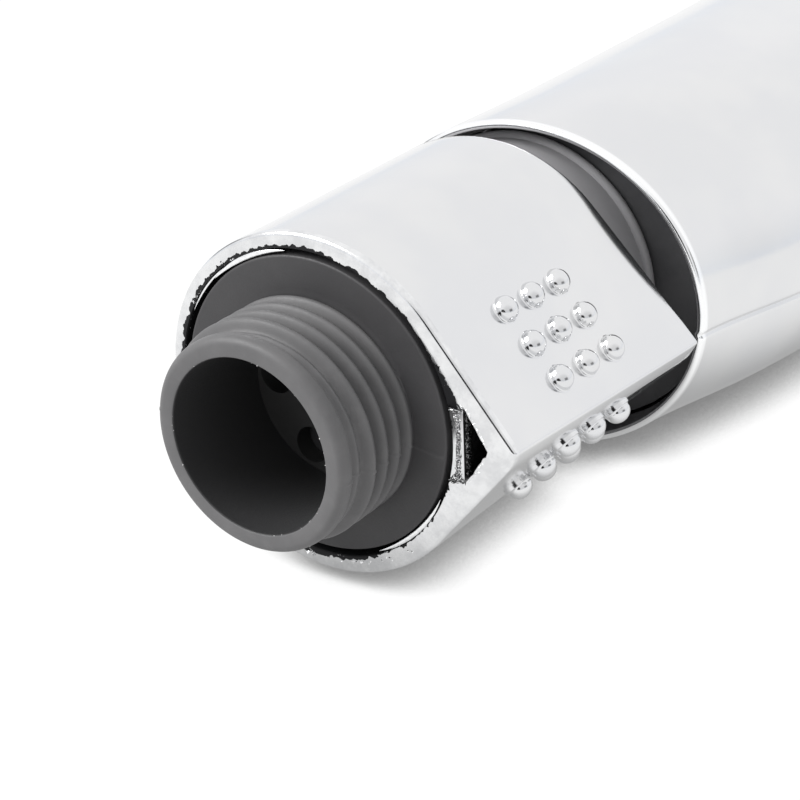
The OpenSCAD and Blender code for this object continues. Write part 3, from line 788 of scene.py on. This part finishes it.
def collar_rows(c):
    """Rows of points from the rear face round the outside, over the front rim and
    back through the bore."""
    angle = np.unique(np.concatenate([arc(-180, 180, 361)[:-1], arc(-12, 6, 181)]))
    rows = []
    for inset, back in REAR_EDGE:
        y = c.rear - back
        rows.append(on_axis(c.outline(y, angle, inset), c.back(y, angle), angle))
    for y in np.linspace(c.rear - 1.5, c.front + 1.2, 24):
        rows.append(on_axis(c.outline(y, angle, 0), c.back(y, angle), angle))
    start = rim_height(EDGE_FILLET)
    for a in arc(0, 90, 7):
        y = c.front + start + 0.3 * (1 - np.sin(a))
        inset = EDGE_FILLET * (1 - np.cos(a))
        rows.append(on_axis(c.outline(y, angle, inset), y, angle))
    outer = c.outline(c.front, angle, EDGE_FILLET)
    for t in np.linspace(0.04, 1, 26):
        radius = outer + (c.bore + 0.08 - outer) * t
        y = c.front + rim_height(c.inset_of(radius, c.front, angle))
        rows.append(on_axis(radius, y, angle))
    lip_y = rows[-1][:, 1]
    rows.append(on_axis(c.bore + 0 * angle, lip_y + 0.12, angle))
    for radius, y in ((c.bore, 13.0), (c.bore, 18.0), (c.bore, LAND[0]), (c.land, LAND[0]),
                      (c.land, LAND[1]), (c.bore, LAND[1]), (c.bore, c.rear)):
        rows.append(on_axis(radius + 0 * angle, y, angle))
    return rows


def pocket_cutter(c):
    """A rounded triangular prism that hollows out the lever corner."""
    corners = np.array([(POCKET_INNER_X, -POCKET_HALF), (POCKET_TIP_X, -POCKET_TIP_HALF),
                        (POCKET_TIP_X, POCKET_TIP_HALF), (POCKET_INNER_X, POCKET_HALF)])
    inner_side = 3
    outline = []
    for k, (a, b) in enumerate(zip(corners, np.roll(corners, -1, axis=0))):
        steps = max(2, int(np.linalg.norm(b - a) / POCKET_STEP))
        for t in np.arange(steps) / steps:
            wobble = RNG.normal(0, POCKET_WOBBLE, 2) if k != inner_side else 0
            outline.append(a + (b - a) * t + wobble)
    outline = np.array(outline)
    middle = outline.mean(axis=0)
    rows = []
    for y, grow in ((c.front - 2, 1.05), (c.front + 0.9, 1.0),
                    (c.front + POCKET_DEPTH, 0.86)):
        flat = middle + (outline - middle) * grow
        rows.append(np.column_stack([flat[:, 0], np.full(len(flat), y), flat[:, 1]]))
    mesh = skin("pocket_cutter", rows)
    bm = bmesh.new()
    bm.from_mesh(mesh)
    bmesh.ops.holes_fill(bm, edges=bm.edges)
    bmesh.ops.recalc_face_normals(bm, faces=bm.faces)
    bm.to_mesh(mesh)
    bm.free()
    return mesh


def cut(mesh, cutter_mesh, cutter_look):
    """The mesh with the cutter taken out of it; the cut faces get the cutter's look."""
    target = placed("cut_target", mesh)
    cutter = placed("cutter", cutter_mesh)
    cutter_mesh.materials.append(cutter_look)
    step = target.modifiers.new("cut", "BOOLEAN")
    step.operation = "DIFFERENCE"
    step.solver = "EXACT"
    step.material_mode = "TRANSFER"
    step.object = cutter
    bpy.context.view_layer.update()
    graph = bpy.context.evaluated_depsgraph_get()
    result = bpy.data.meshes.new_from_object(target.evaluated_get(graph))
    for obj in (target, cutter):
        bpy.data.objects.remove(obj)
    return result


def control_collar(look, cavity):
    """The collar's plated body with its open corner pocket."""
    c = Collar()
    mesh = skin("control_collar_body", collar_rows(c), loop_closed=True)
    mesh.materials.append(look)
    mesh = cut(mesh, pocket_cutter(c), cavity)
    obj = finish_mesh("control_collar_body", mesh, "collar", None, 28)
    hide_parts("control_collar")
    return obj


def corner_rib(look):
    """The crusted rib between the collar's bore and its corner pocket."""
    c = Collar()
    across = np.linspace(0, 2 * math.pi, 41)[:-1]
    rows = []
    for z in np.linspace(-RIB_HALF, RIB_HALF, 90):
        swell = 0.08 + RIB_SWELL * smoothstep(RIB_HALF - 0.9, RIB_HALF, abs(z)) ** 2
        inner = math.sqrt(c.bore ** 2 - z ** 2) + 0.05
        outer = POCKET_INNER_X + 0.05
        middle = (inner + outer) / 2
        half = (outer - inner) / 2 + swell * 0.3
        lump = 1 + RNG.normal(0, 0.055, len(across))
        x = middle + half * lump * np.cos(across)
        y = c.front + RIB_ROUND - (RIB_ROUND + swell) * lump * np.sin(across)
        rows.append(np.column_stack([x, y, np.full(len(across), z)]))
    mesh = skin("corner_rib", rows)
    return finish_mesh("corner_rib", mesh, "collar", look, 60)


def plating_flakes(look):
    """Torn specks of plating round the pocket and along the collar's inner rim, with
    larger chips at the bottom of the rim."""
    c = Collar()
    places = []
    sizes = []
    for _ in range(POCKET_SPECKS):
        t = RNG.uniform(0, 1)
        z = RNG.choice([-1, 1]) * (0.3 + 3.2 * t)
        x = POCKET_TIP_X + 0.15 - (POCKET_TIP_X - POCKET_INNER_X) * abs(z) / POCKET_HALF
        x += abs(RNG.normal(0, 0.2))
        radius, angle = math.hypot(x, z), math.atan2(z, x)
        y = c.front + rim_height(c.inset_of(radius, c.front, angle))
        places.append(np.array([x, y, z]))
        sizes.append(RNG.uniform(0.03, 0.11))
    for _ in range(RIM_SPECKS):
        angle = RNG.uniform(-math.pi, math.pi)
        radius = c.bore + abs(RNG.normal(0.08, 0.12))
        places.append(on_axis(radius, c.front + RNG.uniform(0.1, 0.5), angle))
        sizes.append(RNG.uniform(0.03, 0.09))
    for angle in np.radians(RNG.uniform(*RIM_CHIP_ANGLES, RIM_CHIPS)):
        radius = RNG.uniform(*RIM_CHIP_RADII)
        fall = rim_height(c.inset_of(radius, c.front, angle))
        places.append(on_axis(radius, c.front + fall, angle))
        sizes.append(RNG.uniform(0.18, 0.34))
    return chips("plating_flakes", places, sizes, "collar", look)


def plating_curls(look):
    """Slivers of torn plating that stand in the gap round the core."""
    c = Collar()
    across = arc(0, 360, 13)[:-1]
    slivers = []
    for start, stop, radius, width in CURLS:
        rows = []
        for t in np.linspace(0, 1, 70):
            angle = np.radians(start + (stop - start) * t) + 0 * across
            half = width / 2 * math.sin(math.pi * t) ** 0.8
            y = c.front + 0.12 + 0.4 * half * np.sin(across)
            rows.append(on_axis(radius + half * np.cos(across), y, angle))
        slivers.append(skin("sliver", rows))
    return finish_mesh("plating_curls", joined("plating_curls", slivers), "collar",
                       look, 60)


def dome_profile():
    """(radius, height) from a root sunk in the flat, over the fillet, to the crown."""
    fillet = [(DOME_R + DOME_FILLET * (1 - math.sin(a)), DOME_FILLET * (1 - math.cos(a)))
              for a in arc(0, 80, 6)]
    base_r, base_h = fillet[-1]
    crown = [(base_r * math.cos(a), base_h + DOME_RISE * DOME_R * math.sin(a))
             for a in arc(4, 90, 16)]
    return [(DOME_R + DOME_FILLET + 0.05, -DOME_ROOT)] + fillet + crown


def grip_domes(side, look):
    """The grid of raised domes on one flat of the collar."""
    c = Collar()
    turn = arc(0, 360, 49)[:-1]
    meshes = []
    middle = (DOME_GRID - 1) / 2
    shift, shear, lift = DOME_SHIFT[side]
    for i in range(DOME_GRID):
        for j in range(DOME_GRID):
            y = DOME_MID[0] + (i - middle) * DOME_PITCH[0] + shift + (j - middle) * shear
            down = DOME_MID[1] + (j - middle) * DOME_PITCH[1]
            tip = c.at(TIP, y)
            barrel = c.radius + (LOWER_SWELL if side < 0 else 0)
            lean = float(c.tangent(c.at(TIP if side > 0 else NOSE, y), side, barrel))
            run = math.sqrt(tip @ tip - c.radius ** 2) - down
            normal = np.array([math.cos(lean), 0, math.sin(lean)])
            along = side * np.array([math.sin(lean), 0, -math.cos(lean)])
            axis = np.array([0, 1.0, 0])
            at = normal * (barrel + lift) + along * run + axis * y
            rows = [at + normal * h + np.outer(np.cos(turn), along) * r
                    + np.outer(np.sin(turn), axis) * r for r, h in dome_profile()]
            meshes.append(skin("dome", rows))
    name = "grip_domes_upper" if side > 0 else "grip_domes_lower"
    return finish_mesh(name, joined(name, meshes), "collar", look, 60)


# ---------------------------------------------------------------------- handle

def through(knots, y):
    """A smooth curve through (y, value) knots, as the CAD source draws it."""
    ys = [k[0] for k in knots]
    i = int(np.clip(np.searchsorted(ys, y, side="left") - 1, 0, len(knots) - 2))
    t = (y - ys[i]) / (ys[i + 1] - ys[i])
    a, b, c, d = (knots[min(max(k, 0), len(knots) - 1)][1] for k in range(i - 1, i + 3))
    return b + 0.5 * t * (c - a + t * (2 * a - 5 * b + 4 * c - d
                                       + t * (3 * (b - c) + d - a)))


def station(y):
    """Middle x, half width, half thickness and power of the handle's section."""
    front, back = through(FRONT_KNOTS, y), through(BACK_KNOTS, y)
    return ((front + back) / 2, (front - back) / 2, through(HALF_Z_KNOTS, y),
            through(POWER_KNOTS, y))


def face_x(y):
    """The plane of the spray face, as x along the handle."""
    return FACE_MID[0] - (y - FACE_MID[1]) * math.tan(FACE_TILT)


def soft_min(a, b, soft):
    """The smaller of two values, blended where they are close."""
    h = np.clip(0.5 + 0.5 * (b - a) / soft, 0, 1)
    return b * (1 - h) + a * h - soft * h * (1 - h)


def section(y, middle, half_x, half_z, power, inset, angle):
    """One ring of the handle, cut back to the spray face and sunk under it."""
    p = 2 / power
    cos, sin = np.cos(angle), np.sin(angle)
    x = middle + (half_x - inset) * np.sign(cos) * np.abs(cos) ** p
    z = (half_z - inset) * np.sign(sin) * np.abs(sin) ** p
    if y > FACE_FROM_Y:
        x = soft_min(x, face_x(y), FACE_SOFT)
        along = (y - FACE_MID[1]) / math.cos(FACE_TILT)
        past = max(0.0, abs(along) - FACE_STRAIGHT / 2)
        under = np.hypot(past, z) < FACE_CLEAR_R
        near_face = x > face_x(y) - FACE_SKIN
        x = np.where(under & near_face, x - FACE_DROP, x)
    return np.column_stack([x, np.full(len(x), y), z])


def half_turn(side, half_z, power):
    """Section angles of one half, closely spaced at both parting lines."""
    tilt = math.asin((abs(SEAM_Z) / half_z) ** (power / 2))
    start, stop = (-tilt, math.pi + tilt) if side > 0 else (-tilt, -math.pi + tilt)
    fine = np.array([0, 0.0025, 0.005, 0.0075, 0.01, 0.014, 0.02])
    share = np.concatenate([fine, np.linspace(0.03, 0.97, 170), 1 - fine[::-1]])
    return start + (stop - start) * share


def half_shell(side, look):
    """One half of the handle: rounded rim, skin and crown, with a fine parting line
    where the halves meet."""
    rows = []

    def ring(y, inset=0.0, at=None):
        shape = station(max(y, RIM_Y) if at is None else at)
        angle = half_turn(side, shape[2], shape[3])
        rows.append(section(y, *shape, inset, angle))

    for y, inset in ((56, SHELL_WALL), (50, SHELL_WALL), (46, SHELL_WALL), (44, 1.25)):
        ring(y, inset)
    half_wall = RIM_WALL / 2
    for a in arc(0, 180, 13):
        ring(RIM_Y + half_wall * (1 - math.sin(a)), half_wall * (1 + math.cos(a)))
    for y in np.arange(RIM_Y + RING_STEP, CAP_Y, RING_STEP):
        ring(y)
    middle, half_x, half_z, power = station(CAP_Y)
    angle = half_turn(side, half_z, power)
    for a in arc(0, 89.5, 36):
        y = CAP_Y + CAP_LENGTH * math.sin(a)
        shrink = math.cos(a)
        rows.append(section(y, middle, half_x * shrink, half_z * shrink, power, 0, angle))
    rows = np.array(rows)
    closeness = np.exp(-((rows[:, :, 2] - SEAM_Z) / SEAM_WIDTH) ** 2)
    middle_x = rows[:, :, 0].mean(axis=1, keepdims=True)
    rows[:, :, 0] -= np.sign(rows[:, :, 0] - middle_x) * SEAM_DEPTH * closeness
    name = "handle_upper" if side > 0 else "handle_lower"
    mesh = skin(name, rows, round_closed=False)
    obj = finish_mesh(name, mesh, "handle", look, 40)
    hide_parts("shell_upper" if side > 0 else "shell_lower")
    return obj


# ------------------------------------------------------------- carried-over CAD

def dress(looks):
    """Gives every CAD node that is still shown its finished material."""
    by_node = {
        "strainer_plate": "stem", "neck_bulkhead": "dark", "check_valve_cage": "dark",
        "check_poppet": "dark", "collar_clip_front": "steel",
        "collar_clip_rear": "steel", "neck_clip": "steel", "drive_key": "steel",
        "valve_rotor": "acetal", "rotor_o_ring": "rubber", "disc_seal": "rubber",
        "ceramic_disc_moving": "ceramic", "ceramic_disc_fixed": "ceramic",
        "valve_tailpiece": "acetal", "neck_o_ring": "rubber", "water_tube": "acetal",
        "tube_o_ring_front": "rubber", "tube_o_ring_rear": "rubber",
        "head_manifold": "dark", "face_gasket": "rubber", "nozzle_mat": "silicone",
        "spray_plate": "face", "face_bezel": "chrome", "face_screw_near": "steel",
        "face_screw_far": "steel",
    }
    for name, look in by_node.items():
        for material_slot in frame["nodes"][name].material_slots:
            material_slot.material = looks[look]
    for name in ("face_bezel", "spray_plate", "nozzle_mat"):
        edge = frame["nodes"][name].modifiers.new("soft_edges", "BEVEL")
        edge.width = 0.18 * MM
        edge.segments = 3
        edge.limit_method = "ANGLE"
        edge.harden_normals = False


# ------------------------------------------------------------------- the studio

def floor(look):
    """A sheet just under the part."""
    z = CAD_BOX[0][2] / MM - FLOOR_GAP
    half = FLOOR_SIZE / 2
    rows = [[(x, y, z) for x in (-half, half)] for y in (-half, half)]
    mesh = skin("floor", rows, round_closed=False)
    mesh.transform(Matrix.Scale(MM, 4))
    mesh.materials.append(look)
    obj = placed("floor", mesh)


def world():
    """A pale room: cooler near the horizon, dark low down where the photographer
    stands, and with a dim wall low down on either side of the object."""
    room = bpy.data.worlds.new("studio")
    bpy.context.scene.world = room
    room.use_nodes = True
    n = Tree(room.node_tree, "Generated")
    background = n.tree.nodes["Background"]

    def toward(direction, narrow, wide, level):
        """A soft round patch: `level` within `narrow` degrees, 1 beyond `wide`."""
        node = n.add("ShaderNodeVectorMath", operation="DOT_PRODUCT")
        node.inputs[1].default_value = np.array(direction) / np.linalg.norm(direction)
        n.link(n.place, node.inputs[0])
        return n.ramp(node.outputs["Value"], math.cos(math.radians(wide)),
                      math.cos(math.radians(narrow)), 1, level)

    _, y, z = n.parts()
    sky = n.add("ShaderNodeValToRGB")
    sky.color_ramp.elements[0].color = (*SKY[0][1], 1)
    sky.color_ramp.elements[1].color = (*SKY[-1][1], 1)
    for position, color in SKY[1:-1]:
        sky.color_ramp.elements.new(position).color = (*color, 1)
    n.link(n.ramp(z, -1, 1, 0, 1), sky.inputs[0])
    beside = n.ramp(n.times(y, y), *WALL_ACROSS, 1, 0)
    height = n.times(n.ramp(z, *WALL_FOOT, 0, 1), n.ramp(z, *WALL_TOP, 1, 0))
    walls = n.ramp(n.times(beside, height), 0, 1, 1, WALL_LEVEL)
    level = n.times(toward(*PHOTOGRAPHER), toward(*DIM_SIDE), walls, WORLD_LEVEL)
    n.link(sky.outputs[0], background.inputs["Color"])
    n.link(level, background.inputs["Strength"])


def key_light():
    """One large soft lamp, high on the left."""
    data = bpy.data.lights.new("key", "AREA")
    data.shape = "DISK"
    data.size = KEY_SIZE * MM
    data.energy = KEY_POWER
    lamp = placed("key", data)
    lamp.location = np.array(KEY_AT) * MM
    look = Vector(np.array(KEY_AIM, float) - np.array(KEY_AT, float))
    lamp.rotation_euler = look.to_track_quat("-Z", "Y").to_euler()


def camera():
    """The photograph's viewpoint."""
    data = bpy.data.cameras.new("camera")
    data.lens = CAMERA_LENS
    data.sensor_width = CAMERA_SENSOR
    data.clip_start = CAMERA_NEAR
    obj = placed("camera", data)
    obj.location = np.array(CAMERA_AT) * MM
    obj.rotation_euler = [math.radians(a) for a in CAMERA_TURN]
    bpy.context.scene.camera = obj


def main():
    camera()
    plating = chrome_plating()
    cavity = bare_cavity()
    stem = stem_plastic()
    crust = crusted_plating()
    inlet_stem(stem)
    lip_flash(moulded("flash_plastic", (0.62, 0.61, 0.61), (0.45, 0.45, 0.45), 0.5))
    control_collar(collar_plating(), cavity)
    corner_rib(crust)
    steel = spring_steel()
    check_spring(steel)
    bright = bright_edges()
    plating_flakes(bright)
    plating_curls(bright)
    for side in (1, -1):
        grip_domes(side, plating)
        half_shell(side, plating)
    dress({
        "stem": moulded("strainer_plastic", (0.05, 0.05, 0.05), (0.038, 0.038, 0.038), 0.5),
        "dark": moulded("dark_plastic", (0.075, 0.075, 0.078), (0.055, 0.055, 0.058), 0.5),
        "acetal": moulded("white_acetal", (0.84, 0.84, 0.82), (0.76, 0.76, 0.74), 0.36),
        "steel": steel, "rubber": black_rubber(), "ceramic": disc_ceramic(),
        "silicone": tip_silicone(), "face": spray_face(), "chrome": plating,
    })
    floor(floor_paper())
    world()
    key_light()
    bpy.context.scene.view_settings.view_transform = "Standard"
    bpy.context.scene.view_settings.look = "None"


main()
